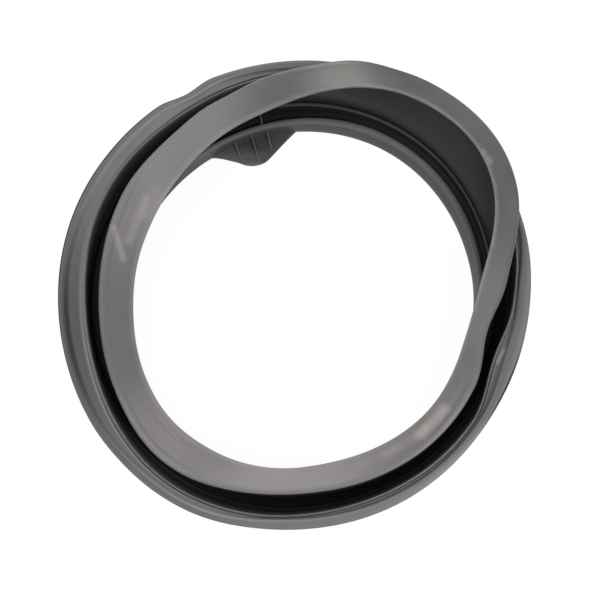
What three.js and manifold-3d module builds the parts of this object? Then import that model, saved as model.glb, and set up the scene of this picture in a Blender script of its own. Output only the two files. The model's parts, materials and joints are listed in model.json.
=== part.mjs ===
// Door seal of a front-loading washing machine: one moulded rubber bellows ring.
// It lies on its tub-side ring, with the door lip and the cabinet collar facing up.
// Millimetres, +Z up. The origin is in the plane it lies on, under the middle of its outline,
// which the relaxed rubber puts a little off the ring's own axis.
// The ring is a closed section swept round the axis. The relaxed rubber isn't round:
// named swells push parts of the section in or out over a stretch of the ring.

import * as THREE from 'three';
import { mergeVertices } from 'three/addons/utils/BufferGeometryUtils.js';
import Module from 'manifold-3d';

// Tub ring: the stiff foot that grips the washing tub
const BORE_RADIUS = 152.5;
const TUB_RING_WIDTH = 26;
const TUB_RING_HEIGHT = 14.8;
const SKIRT_SETBACK = 5.5;
const SKIRT_HEIGHT = 16;
const SKIRT_BEND_HEIGHT = 8;
const SKIRT_BEND_SHARE = 0.4;
const TUB_TOP_WIDTH = 3.5;
const TUB_TOP_RISE = 2;
const TUB_CORNER = 1.2;
const FLANGE_SLOT_SETBACK = 12.3;
const FLANGE_SLOT_WIDTH = 3.6;
const FLANGE_SLOT_DEPTH = 8.5;
const CLAMP_GROOVE_DEPTH = 3.6;
const CLAMP_GROOVE_FLOOR = 4.2;
const CLAMP_GROOVE_WIDTH = 7;
const CLAMP_GROOVE_DRAFT = 0.6;
const TUB_NECK_RISE = 1.6;

// Inner fold: the rounded bulge and the hollow between tub ring and lip wall
const CREASE_SETBACK = 18.5;
const CREASE_RISE = 8;
const CREASE_FOOT_OUT = 0.8;
const CREASE_FOOT_RISE = 2.4;
const BULGE_LOWER_DEPTH = 2.2;
const BULGE_UPPER_DEPTH = 2.5;
const BULGE_LOWER_HEIGHT = 21;
const BULGE_UPPER_HEIGHT = 23.4;
const HOLLOW_DEPTH = 4;
const HOLLOW_START_RUN = 2.5;
const HOLLOW_START_RISE = 0.6;
const HOLLOW_END_SETBACK = 1.5;

// Door lip: a wall that rises from the fold, and a wide flange that leans inward
const LIP_WALL_THICKNESS = 3;
const LIP_RISE = 46;
const LIP_STANDOFF = 2.6;
const LIP_REACH = 23;
const LIP_DROP = 14;
const LIP_THICKNESS = 3;
const LIP_EDGE_THICKNESS = 2;
const LIP_SHOULDER = 2.4;
const LIP_WALL_BEND = 3.5;
const LIP_FOOT_RISE = 1.5;

// Cabinet collar: ridge with its bead, shelf, low crest, outer bevel and panel groove
// The shelf's soft valley lies a share of the way from its start to the crest
const GAP_WIDTH = 14.2;
const GAP_FLOOR_DROP = 3;
const GAP_FLOOR_THICKNESS = 3.4;
const GAP_FLOOR_START = 3;
const GAP_FLOOR_MIDDLE = 6;
const GAP_FLOOR_END = 9;
const GAP_MIDDLE_RISE = 1;
const GAP_END_RISE = 5;
const GAP_MIDDLE_FOLLOW = 0.2;
const GAP_END_FOLLOW = 0.5;
const RIDGE_RISE = 21;
const RIDGE_BEAD = 0.9;
const RIDGE_BEAD_NECK = 1.3;
const RIDGE_BEAD_DROP = 1.8;
const RIDGE_TOP_RISE = 1;
const FINE_GROOVE_OUT = 1.2;
const FINE_GROOVE_RISE = 0.2;
const SHELF_START_OUT = 2.2;
const SHELF_START_RISE = 1.4;
const VALLEY_SHARE = 0.45;
const VALLEY_RISE = 1.6;
const CREST_SETBACK = 4.1;
const CREST_START_RISE = 2.6;
const CREST_RISE = 1.2;
const CREST_WIDTH = 3.8;
const CREST_PEAK = 1.6;
const CREST_SHOULDER_DROP = 0.4;
const BEVEL_WIDTH = 5.4;
const BEVEL_DROP = 1.7;
const EDGE_THICKNESS = 3.2;
const PANEL_GROOVE_WIDTH = 2.4;
const PANEL_GROOVE_DEPTH = 4.6;
const REAR_FLANGE_THICKNESS = 4;
const REAR_FLANGE_SETBACK = 1.6;
const REAR_FLANGE_DRAFT = 0.6;
const REAR_FOLD_RISE = 1;
const REAR_FOLD_FOLLOW = 0.6;
const COLLAR_WALL = 3.8;
const SKIN_RISE = 3;

// Drip tab: the ribbed flap inside the tub ring, at the top of the door opening
const TAB_OUTLINE = [
  { angle: 124, reach: 0 },
  { angle: 120.5, reach: 0.8 },
  { angle: 117.6, reach: 5.7 },
  { angle: 113, reach: 15.7 },
  { angle: 110.2, reach: 21.8 },
  { angle: 107.7, reach: 24.9 },
  { angle: 104.5, reach: 26.1 },
  { angle: 101.9, reach: 24.9 },
  { angle: 99.5, reach: 21.5 },
  { angle: 93.4, reach: 9.2 },
  { angle: 89.5, reach: 0 },
];
const TAB_THICKNESS = 2.4;
const TAB_ROOT_OVERLAP = 4;
const TAB_RIB_THICKNESS = 1.3;
const TAB_RIB_HEIGHT = 11;
const TAB_RIB_LAND = 1;
const TAB_RIB_TIP_HEIGHT = 0.6;
const TAB_RIBS = [
  { angle: 99, reach: 15 },
  { angle: 104.5, reach: 21.5 },
  { angle: 110.6, reach: 16 },
];
const HOLLOW_RIB_ANGLE = 100.5;
const HOLLOW_RIB_SINK = 0.8;
const HOLLOW_RIB_OVERLAP = 1;

// Swells of the relaxed rubber: angle of the middle, half of the stretch, and how far out
const LIP_SWELLS = [
  { at: 38, half: 71, out: 30.5 },
  { at: 26, half: 24, out: 3 },
  { at: 71, half: 12, out: 2.2 },
  { at: 105, half: 11, out: -1.8 },
  { at: 125, half: 26, out: -4 },
  { at: 167, half: 98, out: -20 },
  { at: 191, half: 48, out: -3.9 },
  { at: 236, half: 24, out: 2.5 },
  { at: 268, half: 26, out: -2.2 },
  { at: 315, half: 38, out: 5.2 },
  { at: 342.5, half: 14, out: -6.7 },
  { at: 357, half: 22.5, out: -5.6 },
];
const LIP_EDGE_SWELLS = [
  { at: 39, half: 63, out: 32 },
  { at: 160, half: 116, out: -26 },
  { at: 190, half: 26, out: -1.3 },
  { at: 228, half: 18, out: 1 },
  { at: 321, half: 45, out: 7.5 },
  { at: 334, half: 20, out: -1 },
  { at: 22, half: 30, out: 7 },
];
const RIDGE_SWELLS = [
  { at: 127, half: 39, out: -5.7 },
  { at: 187, half: 57, out: -12.7 },
  { at: 259, half: 44, out: 2.4 },
  { at: 311, half: 41, out: 4 },
  { at: 338, half: 16, out: -6.5 },
  { at: 14, half: 24, out: 5.3 },
];
const CREST_SWELLS = [
  { at: 116, half: 10, out: -3.3 },
  { at: 195, half: 28, out: -1.4 },
  { at: 249, half: 24, out: 2.7 },
  { at: 306, half: 40, out: 3.4 },
  { at: 339, half: 14, out: -3 },
  { at: 354, half: 18, out: -2.2 },
  { at: 15, half: 22, out: 4.6 },
];
const EDGE_SWELLS = [
  { at: 10, half: 20, out: 1 },
  { at: 100, half: 36, out: -1.2 },
  { at: 117, half: 8, out: -4.1 },
  { at: 194, half: 46, out: -3.7 },
  { at: 226, half: 12, out: -0.6 },
  { at: 249, half: 16, out: 1 },
  { at: 299, half: 34, out: 2.2 },
];
const TUB_TOP_SWELLS = [
  { at: 118, half: 62, out: -5 },
];
const BORE_SWELLS = [
  { at: 25, half: 42, out: -1.1 },
  { at: 355, half: 25, out: 0.9 },
];

// Upper right, where the lip is pulled out over the collar and its free edge stands up
const PULL_ANGLE = 45;
const PULL_HALF_SPAN = 120;
const PULL_LIP_RISE = 4;
const PULL_EDGE_RISE = 28;
const PULL_WALL_LEAN = 62;
const PULL_CREST_DROP = 1;

// Fineness of the sweep
const STATIONS = 88;
const WALL_STEPS = 5;
const SHOULDER_STEPS = 2;
const TAB_OUTLINE_STEPS = 30;
const WELD_DISTANCE = 1e-4;

const RUBBER_COLOUR = 0x6b6a69;
const RUBBER_ROUGHNESS = 0.55;

// Radii and heights that follow from the sizes above
const tubOuterRadius = BORE_RADIUS + TUB_RING_WIDTH;
const creaseRadius = BORE_RADIUS + CREASE_SETBACK;
const tubTopHeight = SKIRT_HEIGHT + TUB_TOP_RISE;
const creaseHeight = tubTopHeight + CREASE_RISE;
const gapFloorHeight = creaseHeight - GAP_FLOOR_DROP;
const ridgeRadius = creaseRadius + LIP_WALL_THICKNESS + GAP_WIDTH;
const ridgeHeight = creaseHeight + RIDGE_RISE;
const crestStartHeight = ridgeHeight + CREST_START_RISE;
const crestHeight = crestStartHeight + CREST_RISE;
const edgeHeight = crestHeight - BEVEL_DROP;

const radians = THREE.MathUtils.degToRad;

// A smooth hump, 1 in its middle and 0 from half a stretch away
function hump(angle, middle, half) {
  const away = THREE.MathUtils.euclideanModulo(angle - middle + 180, 360) - 180;
  return Math.abs(away) < half ? 0.5 + 0.5 * Math.cos(Math.PI * away / half) : 0;
}

function swell(angle, swells) {
  return swells.reduce((sum, s) => sum + s.out * hump(angle, s.at, s.half), 0);
}

const point = (r, z) => new THREE.Vector2(r, z);

function stepsAlong(curve, count) {
  return curve.getPoints(count - 1);
}

// Inner side of the tub ring, from its bottom edge up to the top face
function tubInside(angle) {
  const bore = BORE_RADIUS + swell(angle, BORE_SWELLS);
  const skirtTop = BORE_RADIUS + SKIRT_SETBACK + swell(angle, TUB_TOP_SWELLS);
  return [
    point(bore + TUB_CORNER, 0),
    point(bore, TUB_CORNER),
    point(bore + (skirtTop - bore) * SKIRT_BEND_SHARE, SKIRT_BEND_HEIGHT),
    point(skirtTop, SKIRT_HEIGHT),
    point(skirtTop + TUB_TOP_WIDTH, tubTopHeight),
  ];
}

// Hollow behind the top face, then the bulge, up to the crease under the lip wall
function innerFold(angle) {
  const hollowFloor = tubTopHeight - HOLLOW_DEPTH;
  const hollowStart = BORE_RADIUS + SKIRT_SETBACK + TUB_TOP_WIDTH + swell(angle, TUB_TOP_SWELLS);
  return [
    point(hollowStart + HOLLOW_START_RUN, hollowFloor + HOLLOW_START_RISE),
    point(creaseRadius - HOLLOW_END_SETBACK, hollowFloor),
    point(creaseRadius + CREASE_FOOT_OUT, hollowFloor + CREASE_FOOT_RISE),
    point(creaseRadius - BULGE_LOWER_DEPTH, BULGE_LOWER_HEIGHT),
    point(creaseRadius - BULGE_UPPER_DEPTH, BULGE_UPPER_HEIGHT),
    point(creaseRadius, creaseHeight),
  ];
}

// Both faces of the lip: up the wall's inside, round the flange, down the wall's outside
function lip(angle) {
  const pull = hump(angle, PULL_ANGLE, PULL_HALF_SPAN);
  const shoulderRadius = creaseRadius + LIP_WALL_THICKNESS + LIP_STANDOFF;
  const corner = point(
    shoulderRadius + swell(angle, LIP_SWELLS),
    creaseHeight + LIP_RISE + PULL_LIP_RISE * pull,
  );
  const edge = point(
    shoulderRadius - LIP_REACH + swell(angle, LIP_EDGE_SWELLS),
    corner.y - LIP_DROP + PULL_EDGE_RISE * pull,
  );
  const outward = corner.clone().sub(edge).normalize();
  const lean = radians(PULL_WALL_LEAN * pull);
  const wallUp = point(Math.sin(lean), Math.cos(lean));
  const foot = point(creaseRadius + LIP_WALL_THICKNESS / 2, creaseHeight + LIP_FOOT_RISE);

  const shoulderStart = corner.clone().addScaledVector(outward, -LIP_SHOULDER);
  const shoulderEnd = corner.clone().addScaledVector(wallUp, -LIP_WALL_BEND);
  const rise = shoulderEnd.distanceTo(foot);
  const wall = new THREE.CubicBezierCurve(
    foot,
    point(foot.x, foot.y + rise / 3),
    shoulderEnd.clone().addScaledVector(wallUp, -rise / 3),
    shoulderEnd,
  );
  const shoulder = new THREE.QuadraticBezierCurve(shoulderEnd, corner, shoulderStart);
  const middleLine = [
    ...stepsAlong(wall, WALL_STEPS + 1),
    ...stepsAlong(shoulder, SHOULDER_STEPS + 1).slice(1),
    shoulderStart.clone().lerp(edge, 0.5),
    edge,
  ];

  const inside = [];
  const outside = [];
  middleLine.forEach((here, i) => {
    const before = middleLine[Math.max(i - 1, 0)];
    const after = middleLine[Math.min(i + 1, middleLine.length - 1)];
    const along = after.clone().sub(before).normalize();
    const across = point(along.y, -along.x);
    const wallOrFlange = i < WALL_STEPS ? LIP_WALL_THICKNESS : LIP_THICKNESS;
    const thickness = i === middleLine.length - 1 ? LIP_EDGE_THICKNESS : wallOrFlange;
    const half = thickness / 2;
    inside.push(here.clone().addScaledVector(across, -half));
    outside.push(here.clone().addScaledVector(across, half));
  });
  return [...inside.slice(1), ...outside.reverse()];
}

// Front of the collar: from the gap's floor up over the ridge and the crest to the edge
function collarFront(angle) {
  const ridgeSwell = swell(angle, RIDGE_SWELLS);
  const crestSwell = swell(angle, CREST_SWELLS);
  const edgeSwell = swell(angle, EDGE_SWELLS);
  const drop = PULL_CREST_DROP * hump(angle, PULL_ANGLE, PULL_HALF_SPAN);
  const gapStart = creaseRadius + LIP_WALL_THICKNESS;
  const ridge = ridgeRadius + ridgeSwell;
  const crest = ridgeRadius + CREST_SETBACK + crestSwell;
  const shelfStart = ridge + SHELF_START_OUT;
  const edge = ridgeRadius + CREST_SETBACK + CREST_WIDTH + BEVEL_WIDTH + edgeSwell;
  return [
    point(gapStart + GAP_FLOOR_START, gapFloorHeight),
    point(gapStart + GAP_FLOOR_MIDDLE + ridgeSwell * GAP_MIDDLE_FOLLOW, gapFloorHeight + GAP_MIDDLE_RISE),
    point(gapStart + GAP_FLOOR_END + ridgeSwell * GAP_END_FOLLOW, gapFloorHeight + GAP_END_RISE),
    point(ridge - RIDGE_BEAD_NECK, ridgeHeight - RIDGE_BEAD_DROP),
    point(ridge - RIDGE_BEAD, ridgeHeight),
    point(ridge, ridgeHeight + RIDGE_TOP_RISE),
    point(ridge + FINE_GROOVE_OUT, ridgeHeight + FINE_GROOVE_RISE),
    point(shelfStart, ridgeHeight + SHELF_START_RISE),
    point(shelfStart + (crest - shelfStart) * VALLEY_SHARE, ridgeHeight + VALLEY_RISE),
    point(crest, crestStartHeight - drop),
    point(crest + CREST_PEAK, crestHeight - drop),
    point(crest + CREST_WIDTH, crestHeight - CREST_SHOULDER_DROP - drop),
    point(edge, edgeHeight),
  ];
}

// Back of the collar: the panel groove, the rear flange and the skin under the gap
function collarBack(angle) {
  const edgeSwell = swell(angle, EDGE_SWELLS);
  const ridgeSwell = swell(angle, RIDGE_SWELLS);
  const edge = ridgeRadius + CREST_SETBACK + CREST_WIDTH + BEVEL_WIDTH + edgeSwell;
  const grooveTop = edgeHeight - EDGE_THICKNESS;
  const grooveFloor = grooveTop - PANEL_GROOVE_WIDTH;
  const flangeFloor = grooveFloor - REAR_FLANGE_THICKNESS;
  const skinFloor = gapFloorHeight - GAP_FLOOR_THICKNESS;
  const gapStart = creaseRadius + LIP_WALL_THICKNESS;
  return [
    point(edge - REAR_FLANGE_SETBACK, grooveTop),
    point(edge - PANEL_GROOVE_DEPTH, grooveTop),
    point(edge - PANEL_GROOVE_DEPTH, grooveFloor),
    point(edge - REAR_FLANGE_SETBACK, grooveFloor),
    point(edge - REAR_FLANGE_SETBACK, flangeFloor + REAR_FLANGE_DRAFT),
    point(ridgeRadius + COLLAR_WALL + ridgeSwell * REAR_FOLD_FOLLOW, flangeFloor + REAR_FOLD_RISE),
    point(gapStart + GAP_FLOOR_END + COLLAR_WALL + ridgeSwell * GAP_END_FOLLOW, gapFloorHeight + SKIN_RISE),
    point(gapStart + GAP_FLOOR_MIDDLE + ridgeSwell * GAP_MIDDLE_FOLLOW, skinFloor + REAR_FLANGE_DRAFT),
    point(gapStart + GAP_FLOOR_START, skinFloor),
  ];
}

// Outer side of the tub ring with its clamp groove, and the slot for the tub's flange
function tubOutside() {
  const outer = tubOuterRadius;
  const grooveTop = CLAMP_GROOVE_FLOOR + CLAMP_GROOVE_WIDTH;
  const slotInner = BORE_RADIUS + FLANGE_SLOT_SETBACK;
  const slotOuter = slotInner + FLANGE_SLOT_WIDTH;
  return [
    point(outer - CLAMP_GROOVE_DEPTH, TUB_RING_HEIGHT + TUB_NECK_RISE),
    point(outer - TUB_CORNER, TUB_RING_HEIGHT),
    point(outer, TUB_RING_HEIGHT - TUB_CORNER),
    point(outer, grooveTop + CLAMP_GROOVE_DRAFT),
    point(outer - CLAMP_GROOVE_DEPTH, grooveTop),
    point(outer - CLAMP_GROOVE_DEPTH, CLAMP_GROOVE_FLOOR),
    point(outer, CLAMP_GROOVE_FLOOR - CLAMP_GROOVE_DRAFT),
    point(outer, TUB_CORNER),
    point(outer - TUB_CORNER, 0),
    point(slotOuter, 0),
    point(slotOuter, FLANGE_SLOT_DEPTH),
    point(slotInner, FLANGE_SLOT_DEPTH),
    point(slotInner, 0),
  ];
}

function section(angle) {
  return [
    ...tubInside(angle),
    ...innerFold(angle),
    ...lip(angle),
    ...collarFront(angle),
    ...collarBack(angle),
    ...tubOutside(),
  ];
}

// Sweep of the section round the axis, as one closed indexed surface
function sweptRing() {
  const count = section(0).length;
  const positions = [];
  const indices = [];
  for (let i = 0; i < STATIONS; i += 1) {
    const angle = 360 * i / STATIONS;
    const turn = radians(angle);
    section(angle).forEach((p) => positions.push(p.x * Math.cos(turn), p.x * Math.sin(turn), p.y));
    const here = i * count;
    const next = ((i + 1) % STATIONS) * count;
    for (let j = 0; j < count; j += 1) {
      const k = (j + 1) % count;
      indices.push(here + j, here + k, next + j);
      indices.push(next + j, here + k, next + k);
    }
  }
  const geometry = new THREE.BufferGeometry();
  geometry.setAttribute('position', new THREE.Float32BufferAttribute(positions, 3));
  geometry.setIndex(indices);
  return geometry;
}

// Flat flap whose free edge swings in from the bore to a rounded tip
function tabPlate() {
  const place = (angle, radius) => {
    const turn = radians(angle);
    return point(radius * Math.cos(turn), radius * Math.sin(turn));
  };
  const freeEdge = new THREE.SplineCurve(
    TAB_OUTLINE.map((p) => place(p.angle, BORE_RADIUS + TUB_CORNER - p.reach)),
  );
  const last = TAB_OUTLINE[TAB_OUTLINE.length - 1].angle;
  const first = TAB_OUTLINE[0].angle;
  const outline = [
    ...freeEdge.getPoints(TAB_OUTLINE_STEPS),
    place(last, BORE_RADIUS + TAB_ROOT_OVERLAP),
    place((first + last) / 2, BORE_RADIUS + TAB_ROOT_OVERLAP),
    place(first, BORE_RADIUS + TAB_ROOT_OVERLAP),
  ];
  return new THREE.ExtrudeGeometry(new THREE.Shape(outline), { depth: TAB_THICKNESS, bevelEnabled: false });
}

// A thin upright web in the plane of one radius, given by its outline in radius and height
function web(angle, thickness, outline) {
  const shape = new THREE.Shape(outline);
  const geometry = new THREE.ExtrudeGeometry(shape, { depth: thickness, bevelEnabled: false });
  geometry.translate(0, 0, -thickness / 2);
  geometry.rotateX(Math.PI / 2);
  geometry.rotateZ(radians(angle));
  return geometry;
}

function tabRibs() {
  return TAB_RIBS.map((rib) => web(rib.angle, TAB_RIB_THICKNESS, [
    point(BORE_RADIUS + TAB_ROOT_OVERLAP, TAB_THICKNESS / 2),
    point(BORE_RADIUS + TAB_ROOT_OVERLAP, TAB_RIB_HEIGHT),
    point(BORE_RADIUS + TAB_RIB_LAND, TAB_RIB_HEIGHT),
    point(BORE_RADIUS - rib.reach, TAB_THICKNESS + TAB_RIB_TIP_HEIGHT),
    point(BORE_RADIUS - rib.reach, TAB_THICKNESS / 2),
  ]));
}

// The small stiffening web that crosses the hollow beside the tab
function hollowRib() {
  const start = BORE_RADIUS + SKIRT_SETBACK + TUB_TOP_WIDTH + swell(HOLLOW_RIB_ANGLE, TUB_TOP_SWELLS);
  const floor = tubTopHeight - HOLLOW_DEPTH - HOLLOW_RIB_SINK;
  return web(HOLLOW_RIB_ANGLE, TAB_RIB_THICKNESS, [
    point(start - HOLLOW_RIB_OVERLAP, floor),
    point(start - HOLLOW_RIB_OVERLAP, tubTopHeight - HOLLOW_RIB_SINK),
    point(creaseRadius + HOLLOW_RIB_OVERLAP, tubTopHeight - HOLLOW_RIB_SINK),
    point(creaseRadius + HOLLOW_RIB_OVERLAP, floor),
  ]);
}

const wasm = await Module();
wasm.setup();

function toSolid(geometry) {
  const bare = geometry.clone();
  bare.deleteAttribute('normal');
  bare.deleteAttribute('uv');
  const merged = mergeVertices(bare, WELD_DISTANCE);
  return new wasm.Manifold(new wasm.Mesh({
    numProp: 3,
    vertProperties: new Float32Array(merged.attributes.position.array),
    triVerts: new Uint32Array(merged.index.array),
  }));
}

function toGeometry(solid) {
  const mesh = solid.getMesh();
  const geometry = new THREE.BufferGeometry();
  geometry.setAttribute('position', new THREE.BufferAttribute(new Float32Array(mesh.vertProperties), 3));
  geometry.setIndex(new THREE.BufferAttribute(new Uint32Array(mesh.triVerts), 1));
  geometry.computeVertexNormals();
  return geometry;
}

function doorSeal() {
  const additions = [tabPlate(), ...tabRibs(), hollowRib()];
  const solid = additions.reduce((sum, piece) => sum.add(toSolid(piece)), toSolid(sweptRing()));
  const rubber = new THREE.MeshStandardMaterial({
    color: RUBBER_COLOUR,
    roughness: RUBBER_ROUGHNESS,
    metalness: 0,
  });
  const geometry = toGeometry(solid);
  geometry.computeBoundingBox();
  const middle = geometry.boundingBox.getCenter(new THREE.Vector3());
  geometry.translate(-middle.x, -middle.y, 0);
  const mesh = new THREE.Mesh(geometry, rubber);
  mesh.name = 'door_seal';
  return mesh;
}

const seal = new THREE.Group();
seal.add(doorSeal());

export default seal;
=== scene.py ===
"""Door seal of a front-loading washing machine, moulded in one piece from grey rubber.

The closed section is worked out station by station and swept round the ring's axis.
It lies as it does loose: the tub ring below, the slumped door lip and the collar above.
Sizes are in metres, and angles run counter-clockwise from +X, seen from above.
"""

import json
import math
from collections import namedtuple

import bmesh
import bpy
from bpy.props import FloatProperty, FloatVectorProperty, IntProperty, PointerProperty
from mathutils import Matrix, Vector


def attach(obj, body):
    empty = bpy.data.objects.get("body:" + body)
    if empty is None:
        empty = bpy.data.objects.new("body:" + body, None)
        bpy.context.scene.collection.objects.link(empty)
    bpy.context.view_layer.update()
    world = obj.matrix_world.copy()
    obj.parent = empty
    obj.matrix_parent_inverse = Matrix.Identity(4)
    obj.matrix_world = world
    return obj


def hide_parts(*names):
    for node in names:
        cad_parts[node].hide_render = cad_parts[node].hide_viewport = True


bl_info = {
    "name": "Washing Machine Door Seal",
    "version": (1, 0, 0),
    "blender": (4, 5, 0),
    "location": "View3D > Sidebar > Door Seal",
    "description": "Makes a loose rubber door seal and the plain stage it is seen on",
    "category": "Object",
}

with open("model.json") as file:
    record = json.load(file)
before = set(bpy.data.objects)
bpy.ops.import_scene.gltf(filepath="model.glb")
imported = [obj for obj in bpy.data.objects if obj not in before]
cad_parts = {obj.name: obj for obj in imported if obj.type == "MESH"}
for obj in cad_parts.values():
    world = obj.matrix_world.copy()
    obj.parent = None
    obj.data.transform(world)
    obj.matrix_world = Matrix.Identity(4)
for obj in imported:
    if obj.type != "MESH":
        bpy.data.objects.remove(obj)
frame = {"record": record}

MM = 0.001
NODE = "door_seal"
BASE_GREY = frame["record"]["materials"][0]["base_color"]

# The ring's axis lies a little off the middle of the outline, because the rubber has slumped
RING_AXIS = Vector((-1.71 * MM, 0.55 * MM, 0.0))

# Tub ring
SKIRT_SETBACK = 5.5 * MM
SKIRT_HEIGHT = 16 * MM
SKIRT_BEND_HEIGHT = 8 * MM
SKIRT_BEND_SHARE = 0.4
TUB_TOP_WIDTH = 3.5 * MM
TUB_TOP_RISE = 2 * MM
TUB_CORNER = 1.2 * MM
FLANGE_SLOT_SETBACK = 12.3 * MM
FLANGE_SLOT_WIDTH = 3.6 * MM
FLANGE_SLOT_DEPTH = 8.5 * MM
CLAMP_GROOVE_DEPTH = 3.6 * MM
CLAMP_GROOVE_FLOOR = 4.2 * MM
CLAMP_GROOVE_WIDTH = 7 * MM
CLAMP_GROOVE_DRAFT = 0.6 * MM
TUB_NECK_RISE = 1.6 * MM

# Inner fold between the tub ring and the lip wall
CREASE_SETBACK = 18.5 * MM
CREASE_RISE = 8 * MM
CREASE_FOOT_OUT = 0.8 * MM
CREASE_FOOT_RISE = 2.4 * MM
BULGE_LOWER_DEPTH = 2.2 * MM
BULGE_UPPER_DEPTH = 2.5 * MM
BULGE_LOWER_HEIGHT = 21 * MM
BULGE_UPPER_HEIGHT = 23.4 * MM
HOLLOW_DEPTH = 4 * MM
HOLLOW_START_RUN = 2.5 * MM
HOLLOW_START_RISE = 0.6 * MM
HOLLOW_END_SETBACK = 1.5 * MM

# Door lip
LIP_STANDOFF = 2.6 * MM
LIP_EDGE_THICKNESS = 2 * MM
LIP_SHOULDER = 2.4 * MM
LIP_WALL_BEND = 3.5 * MM
LIP_FOOT_RISE = 1.5 * MM

# Collar
GAP_WIDTH = 14.2 * MM
GAP_FLOOR_DROP = 3 * MM
GAP_FLOOR_THICKNESS = 3.4 * MM
GAP_FLOOR_START = 3 * MM
GAP_FLOOR_MIDDLE = 6 * MM
GAP_FLOOR_END = 9 * MM
GAP_MIDDLE_RISE = 1 * MM
GAP_END_RISE = 5 * MM
GAP_MIDDLE_FOLLOW = 0.2
GAP_END_FOLLOW = 0.5
RIDGE_RISE = 21 * MM
RIDGE_BEAD = 0.9 * MM
RIDGE_BEAD_NECK = 1.3 * MM
RIDGE_BEAD_DROP = 1.8 * MM
RIDGE_TOP_RISE = 1 * MM
CREST_SETBACK = 4.1 * MM
FINE_GROOVE_OUT = 1.2 * MM
FINE_GROOVE_RISE = 0.2 * MM
SHELF_START_OUT = 2.2 * MM
SHELF_START_RISE = 1.4 * MM
VALLEY_SHARE = 0.45
VALLEY_RISE = 1.6 * MM
CREST_RISE = 1.2 * MM
CREST_WIDTH = 3.8 * MM
CREST_PEAK = 1.6 * MM
CREST_SHOULDER_DROP = 0.4 * MM
BEVEL_WIDTH = 5.4 * MM
BEVEL_DROP = 1.7 * MM
EDGE_THICKNESS = 3.2 * MM
PANEL_GROOVE_WIDTH = 2.4 * MM
PANEL_GROOVE_DEPTH = 4.6 * MM
REAR_FLANGE_THICKNESS = 4 * MM
REAR_FLANGE_SETBACK = 1.6 * MM
REAR_FLANGE_DRAFT = 0.6 * MM
REAR_FOLD_RISE = 1 * MM
REAR_FOLD_FOLLOW = 0.6
COLLAR_WALL = 3.8 * MM
SKIN_RISE = 3 * MM

# Drip tab: the angle, and how far its free edge reaches in from the bore there
TAB_OUTLINE = (
    (124, 0 * MM),
    (120.5, 0.8 * MM),
    (117.6, 5.7 * MM),
    (113, 15.7 * MM),
    (110.2, 21.8 * MM),
    (107.7, 24.9 * MM),
    (104.5, 26.1 * MM),
    (101.9, 24.9 * MM),
    (99.5, 21.5 * MM),
    (93.4, 9.2 * MM),
    (89.5, 0 * MM),
)

# The angle at which the tab's hidden root has its middle point
TAB_ROOT_MIDDLE = 110.2

# The tab's ribs: angle, and how far each reaches in from the bore
TAB_RIBS = (
    (99, 15 * MM),
    (104.5, 21.5 * MM),
    (110.6, 16 * MM),
)
TAB_THICKNESS = 2.4 * MM
TAB_ROOT_OVERLAP = 4 * MM
TAB_EDGE_ROUND = 0.7 * MM
TAB_RIB_THICKNESS = 1.3 * MM
TAB_RIB_HEIGHT = 11 * MM
TAB_RIB_LAND = 1 * MM
TAB_RIB_TIP_HEIGHT = 0.6 * MM
TAB_STEPS = 8
RIB_ROUND = 0.35 * MM
HOLLOW_RIB_ANGLE = 100.5
HOLLOW_RIB_SINK = 0.8 * MM
HOLLOW_RIB_OVERLAP = 1 * MM

# Swells of the relaxed rubber: angle of the middle, half of the stretch, and how far out
LIP_SWELLS = (
    (38, 71, 30.5 * MM),
    (26, 24, 3 * MM),
    (71, 12, 2.2 * MM),
    (105, 11, -1.8 * MM),
    (125, 26, -4 * MM),
    (167, 98, -20 * MM),
    (191, 48, -3.9 * MM),
    (236, 24, 2.5 * MM),
    (268, 26, -2.2 * MM),
    (315, 38, 5.2 * MM),
    (342.5, 14, -6.7 * MM),
    (357, 22.5, -5.6 * MM),
)
LIP_EDGE_SWELLS = (
    (39, 63, 32 * MM),
    (160, 116, -26 * MM),
    (190, 26, -1.3 * MM),
    (228, 18, 1 * MM),
    (321, 45, 7.5 * MM),
    (334, 20, -1 * MM),
    (22, 30, 7 * MM),
)
RIDGE_SWELLS = (
    (127, 39, -5.7 * MM),
    (187, 57, -12.7 * MM),
    (259, 44, 2.4 * MM),
    (311, 41, 4 * MM),
    (338, 16, -6.5 * MM),
    (14, 24, 5.3 * MM),
)
CREST_SWELLS = (
    (116, 10, -3.3 * MM),
    (195, 28, -1.4 * MM),
    (249, 24, 2.7 * MM),
    (306, 40, 3.4 * MM),
    (339, 14, -3 * MM),
    (354, 18, -2.2 * MM),
    (15, 22, 4.6 * MM),
)
EDGE_SWELLS = (
    (10, 20, 1 * MM),
    (100, 36, -1.2 * MM),
    (117, 8, -4.1 * MM),
    (194, 46, -3.7 * MM),
    (226, 12, -0.6 * MM),
    (249, 16, 1 * MM),
    (299, 34, 2.2 * MM),
)
TUB_TOP_SWELLS = ((118, 62, -5 * MM),)
BORE_SWELLS = ((25, 42, -1.1 * MM), (355, 25, 0.9 * MM))

# Upper right, where the lip is pulled out over the collar and its free edge stands up
PULL_ANGLE = 45
PULL_HALF_SPAN = 120
PULL_LIP_RISE = 4 * MM
PULL_EDGE_RISE = 28 * MM
PULL_WALL_LEAN = 62
PULL_CREST_DROP = 1 * MM

# Parting line of the mould, a fine bead on the lip a little in from its shoulder
PARTING_SETBACK = 2.6 * MM
PARTING_HEIGHT = 0.25 * MM
PARTING_HALF_WIDTH = 0.45 * MM
# Painted highlight along the bead's crest
PARTING_HIGHLIGHT = 0.8
PARTING_ANGLE = 142
PARTING_HALF_SPAN = 46
PARTING_FAINT = 0.15
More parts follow.
